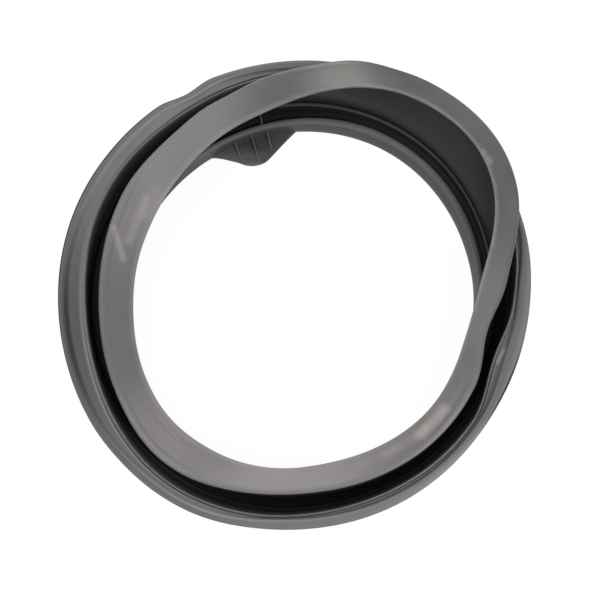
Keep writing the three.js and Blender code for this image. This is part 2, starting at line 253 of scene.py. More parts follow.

# Stretches of the collar, as the middle's angle, half of the stretch and how strong:
# where its valley gets painted shade, where its shelf gets a painted highlight, where its
# edge gets a painted dark rim of shade, and where the fine groove behind the ridge fades out
VALLEY_SHADE = ((190, 50, 0.78), (8, 40, 0.5))
SHELF_HIGHLIGHT = ((116, 26, 0.9), (146, 26, 0.3), (250, 38, 0.85), (292, 44, 0.1))
EDGE_SHADE = ((155, 70, 0.95), (333, 14, 0.9))
GROOVE_FADE = ((166, 74, 1.0), (352, 24, 0.9))
GROOVE_FADE_RISE = 0.9 * MM

# Width of the painted dark rim of shade along the collar's edge, and of the rim with the painted
# highlight line beside it
EDGE_RIM = 1.2 * MM
EDGE_LINE = 2.0 * MM

# Where the lip's inner wall gets deeper painted shade than elsewhere: angle, half of the stretch, how
# much
WALL_SHADE = ((356, 34, 0.4),)

# How much painted shade, with some soil, each place gets, from 0 for clean rubber to 1 for the matt
# near black of a deep fold
BORE_SHADE_AND_SOIL = 0.25
SKIRT_BEND_SHADE_AND_SOIL = 0.38
SKIRT_TOP_SHADE_AND_SOIL = 0.3
TUB_TOP_SHADE_AND_SOIL = 0.5
HOLLOW_START_SHADE_AND_SOIL = 0.85
HOLLOW_END_SHADE_AND_SOIL = 0.95
CREASE_SHADE_AND_SOIL = 1.0
BULGE_LOWER_SHADE_AND_SOIL = 0.62
BULGE_UPPER_SHADE_AND_SOIL = 0.55
INNER_WALL_SHADE_AND_SOIL_LOW = 0.86
INNER_WALL_SHADE_AND_SOIL_HIGH = 0.5
OUTER_WALL_SHADE_AND_SOIL = 1.0
GAP_START_SHADE_AND_SOIL = 1.0
GAP_MIDDLE_SHADE_AND_SOIL = 0.95
GAP_END_SHADE_AND_SOIL = 0.6
FINE_GROOVE_SHADE_AND_SOIL = 0.6
VALLEY_SHADE_AND_SOIL_SHARE = 0.5
CREST_PEAK_SHADE_AND_SOIL_SHARE = 0.7
BEVEL_TOP_SHADE_AND_SOIL = 0.08
EDGE_LINE_SHADE_AND_SOIL = 0.05
TAB_SHADE_AND_SOIL = 0.45
RIB_SHADE_AND_SOIL = 0.1

# How pale a painted highlight, with some rubbing, makes each place, from 0 for not at all to 1 for
# quite pale
BORE_HIGHLIGHT = 0.3
SKIRT_TOP_HIGHLIGHT = 0.9
TUB_TOP_HIGHLIGHT = 0.25
LIP_EDGE_HIGHLIGHT = 0.6
LIP_EDGE_HIGHLIGHT_INSIDE = 0.3
GAP_WALL_HIGHLIGHT = 0.45
RIDGE_BEAD_HIGHLIGHT = 1.0
RIDGE_HIGHLIGHT = 0.6
SHELF_START_HIGHLIGHT = 1.0
SHELF_START_HIGHLIGHT_LOSS = 0.8
VALLEY_HIGHLIGHT_SHARE = 0.8
EDGE_LINE_HIGHLIGHT = 0.5
EDGE_RIM_HIGHLIGHT = 0.2
EDGE_CORNER_HIGHLIGHT = 0.4
RIB_HIGHLIGHT = 0.35

# Where the lip's shoulder gets a pale painted highlight: angle of the middle, half of the stretch, how
# pale
SHOULDER_HIGHLIGHT = ((230, 26, 0.5), (318, 18, 0.45), (150, 50, 0.25))

# Fineness of the sweep
WALL_STEPS = 14
SHOULDER_STEPS = 10
FLANGE_STEPS = 5
ROUND_STEPS = 4
SHARP_ANGLE = 48

# The most of a side that one corner's rounding may take up
ROUND_SHARE = 0.48

# A plate's edges that turn by more than this, in radians, are rounded off
PLATE_EDGE_ANGLE = 1

# How far each kind of corner is rounded off
TINY = 0.3 * MM
SMALL = 0.6 * MM
SOFT = 1.6 * MM
BROAD = 5 * MM

# Per skin point: painted shade and soil, painted highlight and rubbing, painted sheen and shade above
# a height
FINISHES = ("soil", "rub", "bloom_and_sheen")
SHEEN_HEIGHT = 50 * MM

# Camera, worked out from how the rings shift against each other in the picture
CAMERA_TARGET = RING_AXIS + Vector((12 * MM, -13 * MM, 50 * MM))
CAMERA_DISTANCE = 1.15
CAMERA_TILT = 16.0
CAMERA_LEAN = 305.0
CAMERA_SCALE = 0.83 * MM
PICTURE_WIDTH = 600
SENSOR_WIDTH = 36.0

# Floor, a little under the seal so that the two don't touch
FLOOR_HALF_WIDTH = 3.0
FLOOR_DEPTH = 0.05 * MM
FLOOR_LIGHT_GREY = (0.35, 0.35, 0.35, 1.0)
FLOOR_SHADOW_GREY = (0.12, 0.12, 0.12, 1.0)
FLOOR_WHITE = (1.0, 1.0, 1.0, 1.0)
FLOOR_GLOW = 0.93

# Lamps and sky
LAMP_TARGET = Vector((0.0, 0.0, 40 * MM))
PLAIN = (1.0, 1.0, 1.0)
WARM = (1.0, 0.95, 0.9)
COOL = (0.94, 0.97, 1.0)
CEILING_SPOT = Vector((0.0, 0.15, 1.7))
CEILING_SIZE = 2.0
FAR_SPOT = Vector((-0.25, 1.25, 0.48))
FAR_SIZE = 0.5
NEAR_SPOT = Vector((0.63, -0.7, 0.95))
NEAR_SIZE = 0.45

# A corner of the section: radius, height, how far it is rounded off,
# how much painted shade and soil it gets, and how pale its painted highlight and rubbing make it
Corner = namedtuple("Corner", "r z round soil rub", defaults=(0.0, 0.0))

# A pale mark, mostly a rubbed scuff: a soft streak between two places given by angle and radius
Mark = namedtuple("Mark", "angle_a radius_a angle_b radius_b half_width strength")
MARKS = (
    Mark(160.5, 152 * MM, 170.0, 138.5 * MM, 4.2 * MM, 0.42),
    Mark(146.5, 141 * MM, 163.0, 138 * MM, 6.0 * MM, 0.26),
    Mark(143.0, 137 * MM, 152.0, 135 * MM, 9.0 * MM, 0.2),
    Mark(29.8, 193.5 * MM, 28.9, 193 * MM, 3.4 * MM, 0.3),
    Mark(27.4, 193.5 * MM, 26.4, 193 * MM, 3.6 * MM, 0.4),
    # These three are painted sheen: a soft highlight along the lower right lip
    Mark(319.5, 170 * MM, 311.0, 171 * MM, 8.0 * MM, 0.52),
    Mark(312.0, 169 * MM, 300.0, 167 * MM, 8.0 * MM, 0.24),
    Mark(303.0, 166 * MM, 292.0, 164 * MM, 8.0 * MM, 0.16),
    Mark(341.4, 188 * MM, 337.8, 186.4 * MM, 2.2 * MM, 0.62),
    Mark(345.8, 189.8 * MM, 344.9, 189.5 * MM, 0.9 * MM, 0.45),
    Mark(348.8, 190.7 * MM, 347.6, 190.2 * MM, 0.9 * MM, 0.45),
    Mark(226.5, 150 * MM, 238.5, 157 * MM, 1.6 * MM, 0.14),
    Mark(229.0, 156 * MM, 241.0, 163 * MM, 1.4 * MM, 0.12),
)

# The marks fade in between these two heights, so that nothing below the lip and collar has them
MARK_FLOOR = 34 * MM
MARK_CEILING = 38 * MM

# How far painted shade and soil hide the rubber, and how painted highlights and rubbing vary with
# streaks
SHADE_AND_SOIL_STRENGTH = 0.98
HIGHLIGHT_STRENGTH = 0.85
HIGHLIGHT_MEAN = 0.55
HIGHLIGHT_VARIATION = 1.2

# Textures: scale, detail and roughness; the streaks are stretched along the ring
STREAKS = (2.2, 4.0, 0.6)
CLOUDS = (22.0, 4.0, 0.55)
SPECKS = (420.0, 3.0, 0.6)
GRAIN = (1500.0, 2.0, 0.6)
STREAK_RADIUS_SCALE = 260.0
STREAK_HEIGHT_SCALE = 140.0

# How much each texture counts in the skin's tone, roughness and height
TONE_CLOUDS = 0.7
TONE_STREAKS = 0.5
TONE_SPECKS = 0.3
PALE_SHARE = 1.7
DARK_SHARE = 0.6
ROUGH_CLOUDS = 0.15
ROUGH_STREAKS = 0.12
ROUGH_HIGHLIGHT_AND_SCUFF = 0.15
HEIGHT_GRAIN = 0.35
HEIGHT_STREAKS = 0.5
HEIGHT_SPECKS = 0.3
BUMP_STRENGTH = 0.12
BUMP_DISTANCE = 0.6 * MM
RUBBER_SPECULAR = 0.5
SHADE_AND_SOIL_ROUGHNESS = 0.9
SHADE_AND_SOIL_SPECULAR = 0.08

# Painted sheen and shade on the lip's upper face: angle of the middle, half of the stretch,
# how much paler with painted sheen, where a minus makes it darker with painted shade
LIP_SHEEN_AND_SHADE = (
    (266, 72, 1.0),
    (122, 30, 1.5),
    (150, 34, 0.55),
    (74, 40, -1.2),
    (20, 60, -0.3),
)


class SealSizes(bpy.types.PropertyGroup):
    """Sizes of the seal that a user would change"""

    bore_radius: FloatProperty(
        name="Bore radius", description="Clear radius of the tub ring",
        default=0.1525, min=0.1, max=0.2, subtype="DISTANCE")
    tub_ring_width: FloatProperty(
        name="Tub ring width", description="Width of the stiff ring that grips the tub",
        default=0.026, min=0.02, max=0.03, subtype="DISTANCE")
    tub_ring_height: FloatProperty(
        name="Tub ring height", description="Height of the tub ring's outer side",
        default=0.0148, min=0.01, max=0.02, subtype="DISTANCE")
    lip_rise: FloatProperty(
        name="Lip rise", description="Height of the lip's shoulder over the inner crease",
        default=0.046, min=0.03, max=0.06, subtype="DISTANCE")
    lip_reach: FloatProperty(
        name="Lip reach", description="How far the flange reaches in from its shoulder",
        default=0.023, min=0.015, max=0.03, subtype="DISTANCE")
    lip_drop: FloatProperty(
        name="Lip drop", description="How far the free edge hangs under the shoulder",
        default=0.014, min=0.0, max=0.02, subtype="DISTANCE")
    lip_thickness: FloatProperty(
        name="Lip thickness", description="Thickness of the lip's wall and flange",
        default=0.003, min=0.002, max=0.004, subtype="DISTANCE")
    crest_rise: FloatProperty(
        name="Crest rise", description="Height of the collar's crest over its ridge",
        default=0.0026, min=0.002, max=0.005, subtype="DISTANCE")
    stations: IntProperty(
        name="Stations", description="Number of sections round the ring",
        default=360, min=90, max=400)


class SealLook(bpy.types.PropertyGroup):
    """Colours and finish of the rubber"""

    rubber: FloatVectorProperty(
        name="Rubber", description="Plain grey of the moulded rubber",
        default=BASE_GREY, size=3, min=0.0, max=1.0, subtype="COLOR")
    # The pale end of the skin's cloudy tone, which also gives the painted sheen on the lip
    bloom_and_sheen: FloatVectorProperty(
        name="Bloom", description="Warm paler grey where wax has bloomed on the skin",
        default=(0.114, 0.109, 0.109), size=3, min=0.0, max=1.0, subtype="COLOR")
    # Pale colour of the scuffs, and of the painted highlights along edges and on the collar's shelf
    highlight_and_scuff: FloatVectorProperty(
        name="Scuffs", description="Pale dusty colour of the rubbed places",
        default=(0.42, 0.385, 0.37), size=3, min=0.0, max=1.0, subtype="COLOR")
    # Dark colour of the painted shade down in the folds and the gap, with some dirt
    fold_shade_and_dirt: FloatVectorProperty(
        name="Folds", description="Dark colour of the matt dirt down in the folds",
        default=(0.005, 0.0055, 0.0085), size=3, min=0.0, max=1.0, subtype="COLOR")
    roughness: FloatProperty(
        name="Roughness", description="Mean roughness of the rubber's skin",
        default=0.4, min=0.0, max=1.0, subtype="FACTOR")


class SealStage(bpy.types.PropertyGroup):
    """Light and camera"""

    sky: FloatProperty(
        name="Sky", description="Strength of the even light from all round",
        default=0.3, min=0.0, max=2.0)
    ceiling: FloatProperty(
        name="Ceiling", description="Power of the large soft lamp straight above",
        default=14.0, min=0.0, max=100.0, unit="POWER")
    far: FloatProperty(
        name="Far lamp", description="Power of the low soft lamp beyond the far side",
        default=6.5, min=0.0, max=100.0, unit="POWER")
    near: FloatProperty(
        name="Near lamp", description="Power of the soft lamp over the near right side",
        default=6.5, min=0.0, max=100.0, unit="POWER")


def hump(angle, middle, half):
    """A smooth hump, 1 in its middle and 0 from half a stretch away."""
    away = (angle - middle + 180) % 360 - 180
    return 0.5 + 0.5 * math.cos(math.pi * away / half) if abs(away) < half else 0.0


def swell(angle, swells):
    """How far out a part of the section is pushed at an angle."""
    return sum(out * hump(angle, middle, half) for middle, half, out in swells)


def bezier(a, b, c, d, t):
    """A point of a cubic curve."""
    s = 1 - t
    return a * s ** 3 + b * 3 * s * s * t + c * 3 * s * t * t + d * t ** 3


class Section:
    """The ring's closed section at one angle, as corners in radius and height."""

    def __init__(self, sizes, angle):
        self.sizes = sizes
        self.angle = angle
        self.crease = sizes.bore_radius + CREASE_SETBACK
        self.tub_top = SKIRT_HEIGHT + TUB_TOP_RISE
        self.crease_height = self.tub_top + CREASE_RISE
        self.gap_floor = self.crease_height - GAP_FLOOR_DROP
        self.gap_start = self.crease + sizes.lip_thickness
        self.ridge = self.gap_start + GAP_WIDTH
        self.ridge_height = self.crease_height + RIDGE_RISE
        self.crest_start_height = self.ridge_height + sizes.crest_rise
        self.crest_height = self.crest_start_height + CREST_RISE
        self.edge_height = self.crest_height - BEVEL_DROP
        self.pull = hump(angle, PULL_ANGLE, PULL_HALF_SPAN)
        self.ridge_swell = swell(angle, RIDGE_SWELLS)
        self.skirt_top = sizes.bore_radius + SKIRT_SETBACK + swell(angle, TUB_TOP_SWELLS)
        self.edge = (self.ridge + CREST_SETBACK + CREST_WIDTH + BEVEL_WIDTH
                     + swell(angle, EDGE_SWELLS))

    def tub_inside(self):
        """The tub ring's inner side, from its foot to its top."""
        bore = self.sizes.bore_radius + swell(self.angle, BORE_SWELLS)
        bend = bore + (self.skirt_top - bore) * SKIRT_BEND_SHARE
        # Painted shade on the bore and the skirt, and a painted highlight along the skirt's top edge
        return [
            Corner(bore, 0, TUB_CORNER, BORE_SHADE_AND_SOIL, BORE_HIGHLIGHT),
            Corner(bend, SKIRT_BEND_HEIGHT, BROAD, SKIRT_BEND_SHADE_AND_SOIL),
            Corner(self.skirt_top, SKIRT_HEIGHT, SMALL, SKIRT_TOP_SHADE_AND_SOIL, SKIRT_TOP_HIGHLIGHT),
            Corner(self.skirt_top + TUB_TOP_WIDTH, self.tub_top, SMALL, TUB_TOP_SHADE_AND_SOIL, TUB_TOP_HIGHLIGHT),
        ]

    def inner_fold(self):
        """The hollow beside the tub ring and the bulge over it, up to the inner crease."""
        floor = self.tub_top - HOLLOW_DEPTH
        start = self.skirt_top + TUB_TOP_WIDTH
        # Painted shade deepens down into the hollow and the crease, and lies on the bulge
        return [
            Corner(start + HOLLOW_START_RUN, floor + HOLLOW_START_RISE, SOFT, HOLLOW_START_SHADE_AND_SOIL),
            Corner(self.crease - HOLLOW_END_SETBACK, floor, SOFT, HOLLOW_END_SHADE_AND_SOIL),
            Corner(self.crease + CREASE_FOOT_OUT, floor + CREASE_FOOT_RISE, SMALL, CREASE_SHADE_AND_SOIL),
            Corner(self.crease - BULGE_LOWER_DEPTH, BULGE_LOWER_HEIGHT, SOFT, BULGE_LOWER_SHADE_AND_SOIL),
            Corner(self.crease - BULGE_UPPER_DEPTH, BULGE_UPPER_HEIGHT, SOFT, BULGE_UPPER_SHADE_AND_SOIL),
            Corner(self.crease, self.crease_height, TINY, CREASE_SHADE_AND_SOIL),
        ]

    def lip_line(self):
        """Middle line of the lip, from its foot over the shoulder to the free edge."""
        sizes = self.sizes
        shoulder_radius = self.gap_start + LIP_STANDOFF
        corner = Vector((
            shoulder_radius + swell(self.angle, LIP_SWELLS),
            self.crease_height + sizes.lip_rise + PULL_LIP_RISE * self.pull,
        ))
        edge = Vector((
            shoulder_radius - sizes.lip_reach + swell(self.angle, LIP_EDGE_SWELLS),
            corner.y - sizes.lip_drop + PULL_EDGE_RISE * self.pull,
        ))
        outward = (corner - edge).normalized()
        lean = math.radians(PULL_WALL_LEAN * self.pull)
        wall_up = Vector((math.sin(lean), math.cos(lean)))
        foot = Vector((self.crease + sizes.lip_thickness / 2, self.crease_height + LIP_FOOT_RISE))
        start = corner - outward * LIP_SHOULDER
        end = corner - wall_up * LIP_WALL_BEND
        third = (end - foot).length / 3
        up = Vector((0, third))
        wall = [bezier(foot, foot + up, end - wall_up * third, end, i / WALL_STEPS)
                for i in range(WALL_STEPS)]
        near_end = end.lerp(corner, 2 / 3)
        near_start = start.lerp(corner, 2 / 3)
        shoulder = [bezier(end, near_end, near_start, start, i / SHOULDER_STEPS)
                    for i in range(SHOULDER_STEPS)]
        flange = [start.lerp(edge, i / FLANGE_STEPS) for i in range(FLANGE_STEPS + 1)]
        return wall + shoulder + flange

    def lip(self):
        """Both faces of the lip, with the rounded free edge between them."""
        line = self.lip_line()
        last = len(line) - 1
        taper_start = WALL_STEPS + SHOULDER_STEPS
        inside = []
        outside = []
        for i, here in enumerate(line):
            along = (line[min(i + 1, last)] - line[max(i - 1, 0)]).normalized()
            across = Vector((along.y, -along.x))
            taper = max(0, i - taper_start) / FLANGE_STEPS
            thickness = self.sizes.lip_thickness * (1 - taper) + LIP_EDGE_THICKNESS * taper
            half = across * (thickness / 2)
            rounding = SMALL if i == last else 0
            # Painted shade on the walls, deepest at the inner foot; painted highlight on shoulder and
            # edge
            climb = min(1, i / WALL_STEPS)
            inner_shade_and_soil = INNER_WALL_SHADE_AND_SOIL_LOW + (INNER_WALL_SHADE_AND_SOIL_HIGH - INNER_WALL_SHADE_AND_SOIL_LOW) * climb
            inner_shade_and_soil += swell(self.angle, WALL_SHADE)
            outer_shade_and_soil = OUTER_WALL_SHADE_AND_SOIL if i < taper_start - SHOULDER_STEPS / 2 else 0
            shoulder_highlight = hump(i, taper_start, SHOULDER_STEPS) * swell(self.angle, SHOULDER_HIGHLIGHT)
            inner_highlight = LIP_EDGE_HIGHLIGHT_INSIDE if i == last else 0
            outer_highlight = LIP_EDGE_HIGHLIGHT if i == last else 0
            inside.append(Corner(*(here - half), rounding, inner_shade_and_soil, inner_highlight))
            outside.append(Corner(*(here + half), rounding, outer_shade_and_soil, outer_highlight + shoulder_highlight))
        outside.reverse()
        return inside[1:] + self.with_parting_line(outside)

    def with_parting_line(self, outside):
        """The lip's outer face, with the parting line's bead on the flange's second stretch."""
        cut = FLANGE_STEPS
        near = Vector(outside[cut - 1][:2])
        far = Vector(outside[cut][:2])
        along = (far - near).normalized()
        across = Vector((along.y, -along.x))
        clear = hump(self.angle, PARTING_ANGLE, PARTING_HALF_SPAN)
        strength = PARTING_FAINT + (1 - PARTING_FAINT) * clear
        bead = []
        # The bead's crest gets a painted highlight
        for offset, height in ((1, 0), (0, strength), (-1, 0)):
            spot = far - along * (PARTING_SETBACK + offset * PARTING_HALF_WIDTH)
            spot -= across * (height * PARTING_HEIGHT)
            bead.append(Corner(*spot, 0, 0, PARTING_HIGHLIGHT * height))
        return outside[:cut] + bead + outside[cut:]

    def collar_front(self):
        """From the gap's floor up over the ridge and the crest to the edge."""
        crest = self.ridge + CREST_SETBACK + swell(self.angle, CREST_SWELLS)
        drop = PULL_CREST_DROP * self.pull
        ridge = self.ridge + self.ridge_swell
        shelf_start = ridge + SHELF_START_OUT
        valley = shelf_start + (crest - shelf_start) * VALLEY_SHARE
        middle = self.gap_start + GAP_FLOOR_MIDDLE + self.ridge_swell * GAP_MIDDLE_FOLLOW
        end = self.gap_start + GAP_FLOOR_END + self.ridge_swell * GAP_END_FOLLOW
        bevel_top = Vector((crest + CREST_WIDTH, self.crest_height - CREST_SHOULDER_DROP - drop))
        edge = Vector((self.edge, self.edge_height))
        inward = (bevel_top - edge).normalized()
        # Painted shade in the valley and on the edge's rim, painted highlight on the shelf
        dark = swell(self.angle, VALLEY_SHADE)
        highlight_and_scuff = swell(self.angle, SHELF_HIGHLIGHT)
        edge_shade = swell(self.angle, EDGE_SHADE)
        fade = min(1, swell(self.angle, GROOVE_FADE))
        groove_height = self.ridge_height + FINE_GROOVE_RISE + GROOVE_FADE_RISE * fade
        neck_height = self.ridge_height - RIDGE_BEAD_DROP
        shelf_highlight = SHELF_START_HIGHLIGHT - SHELF_START_HIGHLIGHT_LOSS * fade
        # Near-black painted shade down the gap, painted highlights on the ridge's bead and lines
        return [
            Corner(self.gap_start + GAP_FLOOR_START, self.gap_floor, BROAD, GAP_START_SHADE_AND_SOIL),
            Corner(middle, self.gap_floor + GAP_MIDDLE_RISE, BROAD, GAP_MIDDLE_SHADE_AND_SOIL),
            Corner(end, self.gap_floor + GAP_END_RISE, BROAD, GAP_END_SHADE_AND_SOIL),
            Corner(ridge - RIDGE_BEAD_NECK, neck_height, TINY, 0, GAP_WALL_HIGHLIGHT),
            Corner(ridge - RIDGE_BEAD, self.ridge_height, TINY, 0, RIDGE_BEAD_HIGHLIGHT),
            Corner(ridge, self.ridge_height + RIDGE_TOP_RISE, TINY, 0, RIDGE_HIGHLIGHT),
            Corner(ridge + FINE_GROOVE_OUT, groove_height, TINY, (1 - fade) * FINE_GROOVE_SHADE_AND_SOIL),
            Corner(shelf_start, self.ridge_height + SHELF_START_RISE, TINY, 0, shelf_highlight),
            Corner(valley, self.ridge_height + VALLEY_RISE, BROAD,
                   dark * VALLEY_SHADE_AND_SOIL_SHARE, highlight_and_scuff * VALLEY_HIGHLIGHT_SHARE),
            Corner(crest, self.crest_start_height - drop, SOFT, dark, highlight_and_scuff),
            Corner(crest + CREST_PEAK, self.crest_height - drop, SOFT,
                   dark * CREST_PEAK_SHADE_AND_SOIL_SHARE, highlight_and_scuff),
            Corner(*bevel_top, SOFT, BEVEL_TOP_SHADE_AND_SOIL),
            Corner(*(edge + inward * EDGE_LINE), 0, EDGE_LINE_SHADE_AND_SOIL, EDGE_LINE_HIGHLIGHT),
            Corner(*(edge + inward * EDGE_RIM), 0, edge_shade, EDGE_RIM_HIGHLIGHT),
            Corner(*edge, SMALL, edge_shade, EDGE_CORNER_HIGHLIGHT * (1 - edge_shade)),
        ]

    def collar_back(self):
        """Panel groove, rear flange, and the skin under the gap."""
        groove_top = self.edge_height - EDGE_THICKNESS
        groove_floor = groove_top - PANEL_GROOVE_WIDTH
        flange_floor = groove_floor - REAR_FLANGE_THICKNESS
        skin = self.gap_floor - GAP_FLOOR_THICKNESS
        middle = self.gap_start + GAP_FLOOR_MIDDLE + self.ridge_swell * GAP_MIDDLE_FOLLOW
        end = self.gap_start + GAP_FLOOR_END + self.ridge_swell * GAP_END_FOLLOW
        return [
            Corner(self.edge - REAR_FLANGE_SETBACK, groove_top, TINY),
            Corner(self.edge - PANEL_GROOVE_DEPTH, groove_top, TINY),
            Corner(self.edge - PANEL_GROOVE_DEPTH, groove_floor, TINY),
            Corner(self.edge - REAR_FLANGE_SETBACK, groove_floor, TINY),
            Corner(self.edge - REAR_FLANGE_SETBACK, flange_floor + REAR_FLANGE_DRAFT, SMALL),
            Corner(self.ridge + COLLAR_WALL + self.ridge_swell * REAR_FOLD_FOLLOW,
                   flange_floor + REAR_FOLD_RISE, SOFT),
            Corner(end + COLLAR_WALL, self.gap_floor + SKIN_RISE, BROAD),
            Corner(middle, skin + REAR_FLANGE_DRAFT, BROAD),
            Corner(self.gap_start + GAP_FLOOR_START, skin, BROAD),
        ]

    def tub_outside(self):
        """Outer side of the tub ring with its clamp groove, and the slot for the tub's flange."""
        outer = self.sizes.bore_radius + self.sizes.tub_ring_width
        top = self.sizes.tub_ring_height
        groove_top = CLAMP_GROOVE_FLOOR + CLAMP_GROOVE_WIDTH
        slot_inner = self.sizes.bore_radius + FLANGE_SLOT_SETBACK
        slot_outer = slot_inner + FLANGE_SLOT_WIDTH
        return [
            Corner(outer - CLAMP_GROOVE_DEPTH, top + TUB_NECK_RISE, SMALL),
            Corner(outer, top, TUB_CORNER),
            Corner(outer, groove_top + CLAMP_GROOVE_DRAFT, TINY),
            Corner(outer - CLAMP_GROOVE_DEPTH, groove_top, TINY),
            Corner(outer - CLAMP_GROOVE_DEPTH, CLAMP_GROOVE_FLOOR, TINY),
            Corner(outer, CLAMP_GROOVE_FLOOR - CLAMP_GROOVE_DRAFT, TINY),
            Corner(outer, 0, TUB_CORNER),
            Corner(slot_outer, 0, TINY),
            Corner(slot_outer, FLANGE_SLOT_DEPTH, SMALL),
            Corner(slot_inner, FLANGE_SLOT_DEPTH, SMALL),
            Corner(slot_inner, 0, TINY),
        ]

    def corners(self):
        """The whole section, once round."""
        return (self.tub_inside() + self.inner_fold() + self.lip()
                + self.collar_front() + self.collar_back() + self.tub_outside())


def rounded(corners):
    """The outline as (spot, painted shade and soil, painted highlight and rub), each rounded corner
    made a curve.
    """
    outline = []
    count = len(corners)
    for i, corner in enumerate(corners):
        here = Vector(corner[:2])
        if corner.round == 0:
            outline.append((here, corner.soil, corner.rub))
            continue
        before = Vector(corners[i - 1][:2]) - here
        after = Vector(corners[(i + 1) % count][:2]) - here
        start = here + before.normalized() * min(corner.round, before.length * ROUND_SHARE)
        end = here + after.normalized() * min(corner.round, after.length * ROUND_SHARE)
        for step in range(ROUND_STEPS):
            t = step / (ROUND_STEPS - 1)
            spot = start.lerp(here, t).lerp(here.lerp(end, t), t)
            outline.append((spot, corner.soil, corner.rub))
    return outline


def place(angle, radius, height):
    """A point of the seal from its angle in degrees, radius and height."""
    turn = math.radians(angle)
    return RING_AXIS + Vector((radius * math.cos(turn), radius * math.sin(turn), height))


def add_ring(shape, sizes):
    """Sweeps the section round the axis as one closed skin."""
    layers = [shape.verts.layers.float.new(name) for name in FINISHES]
    loops = []
    for i in range(sizes.stations):
        angle = 360 * i / sizes.stations
        # Painted sheen and shade on the lip, changing round the ring
        bloom_and_sheen = swell(angle, LIP_SHEEN_AND_SHADE)
        loop = []
        for spot, soil, rub in rounded(Section(sizes, angle).corners()):
            vert = shape.verts.new(place(angle, *spot))
            for layer, value in zip(layers, (soil, rub, bloom_and_sheen * (spot.y > SHEEN_HEIGHT))):
                vert[layer] = value
            loop.append(vert)
        loops.append(loop)
    for here, there in zip(loops, loops[1:] + loops[:1]):
        for j, corner in enumerate(here):
            k = (j + 1) % len(here)
            shape.faces.new((corner, here[k], there[k], there[j]))


def catmull(points, steps):
    """A smooth line through points."""
    line = []
    for i in range(len(points) - 1):
        a = points[max(i - 1, 0)]
        b = points[i]
        c = points[i + 1]
        d = points[min(i + 2, len(points) - 1)]
        for step in range(steps):
            t = step / steps
            line.append(0.5 * (2 * b + (c - a) * t + (2 * a - 5 * b + 4 * c - d) * t * t
                               + (3 * b - a - 3 * c + d) * t ** 3))
    line.append(points[-1])
    return line


def add_plate(shape, outline, thickness, rounding):
    """A flat plate from a closed outline, thickened along its normal, with rounded edges."""
    face = shape.faces.new([shape.verts.new(p) for p in outline])
    face.normal_update()
    shift = face.normal * thickness
    made = bmesh.ops.extrude_face_region(shape, geom=[face])["geom"]
    moved = [g for g in made if isinstance(g, bmesh.types.BMVert)]
    bmesh.ops.translate(shape, verts=moved, vec=shift)
    skin = {f for v in moved for f in v.link_faces} | {face}
    edges = [e for e in shape.edges
             if skin.intersection(e.link_faces) and e.calc_face_angle(0) > PLATE_EDGE_ANGLE]
    bmesh.ops.bevel(shape, geom=edges, offset=rounding, segments=2, profile=0.5, affect="EDGES")


def finish_since(shape, start, soil, rub):
    """Gives the verts made since a count their painted shade with soil and their painted highlight
    with rubbing.
    """
    layers = [shape.verts.layers.float[name] for name in FINISHES[:2]]
    shape.verts.ensure_lookup_table()
    for vert in shape.verts[start:]:
        for layer, value in zip(layers, (soil, rub)):
            vert[layer] = value


def add_tab(shape, sizes):
    """The flat drip tab, from under the tub ring's inner side to its rounded tip."""
    bore = sizes.bore_radius + TUB_CORNER
    free_edge = catmull([place(angle, bore - reach, 0) for angle, reach in TAB_OUTLINE], TAB_STEPS)
    root = [place(angle, sizes.bore_radius + TAB_ROOT_OVERLAP, 0)
            for angle in (TAB_OUTLINE[-1][0], TAB_ROOT_MIDDLE, TAB_OUTLINE[0][0])]
    add_plate(shape, list(reversed(free_edge + root)), -TAB_THICKNESS, TAB_EDGE_ROUND)


def add_web(shape, angle, outline, thickness):
    """A thin upright web in the plane of one radius, with rounded edges."""
    side = Vector((-math.sin(math.radians(angle)), math.cos(math.radians(angle)), 0))
    points = [place(angle, r, z) - side * thickness / 2 for r, z in outline]
    add_plate(shape, points, -thickness, RIB_ROUND)


def add_webs(shape, sizes):
    """The tab's three ribs, and the small web across the hollow beside them."""
    bore = sizes.bore_radius
    for angle, reach in TAB_RIBS:
        add_web(shape, angle, (
            (bore + TAB_ROOT_OVERLAP, TAB_THICKNESS / 2),
            (bore + TAB_ROOT_OVERLAP, TAB_RIB_HEIGHT),
            (bore + TAB_RIB_LAND, TAB_RIB_HEIGHT),
            (bore - reach, TAB_THICKNESS + TAB_RIB_TIP_HEIGHT),
            (bore - reach, TAB_THICKNESS / 2),
        ), TAB_RIB_THICKNESS)
    section = Section(sizes, HOLLOW_RIB_ANGLE)
    start = section.skirt_top + TUB_TOP_WIDTH - HOLLOW_RIB_OVERLAP
    end = section.crease + HOLLOW_RIB_OVERLAP
    top = section.tub_top - HOLLOW_RIB_SINK
    floor = top - HOLLOW_DEPTH
    add_web(shape, HOLLOW_RIB_ANGLE, ((start, floor), (start, top), (end, top), (end, floor)),
            TAB_RIB_THICKNESS)


class Signal:
    """A shader socket that adds nodes when it is used in an expression."""

    def __init__(self, shader, socket):
        self.shader = shader
        self.socket = socket

    def __add__(self, other):
        return self.shader.math("ADD", self, other)

    def __radd__(self, other):
        return self.shader.math("ADD", other, self)

    def __sub__(self, other):
        return self.shader.math("SUBTRACT", self, other)

    def __rsub__(self, other):
        return self.shader.math("SUBTRACT", other, self)

    def __mul__(self, other):
        return self.shader.math("MULTIPLY", self, other)

    def __rmul__(self, other):
        return self.shader.math("MULTIPLY", other, self)

    def __truediv__(self, other):
        return self.shader.math("DIVIDE", self, other)

    def __pow__(self, other):
        return self.shader.math("POWER", self, other)

    def clamped(self):
        return self.shader.math("MINIMUM", self.shader.math("MAXIMUM", self, 0.0), 1.0)

    def rise(self, low, high):
        """0 below low, 1 above high, and smooth between them."""
        return self.shader.node(
            "ShaderNodeMapRange",
            {"interpolation_type": "SMOOTHSTEP"},
            {"Value": self, "From Min": low, "From Max": high},
        )


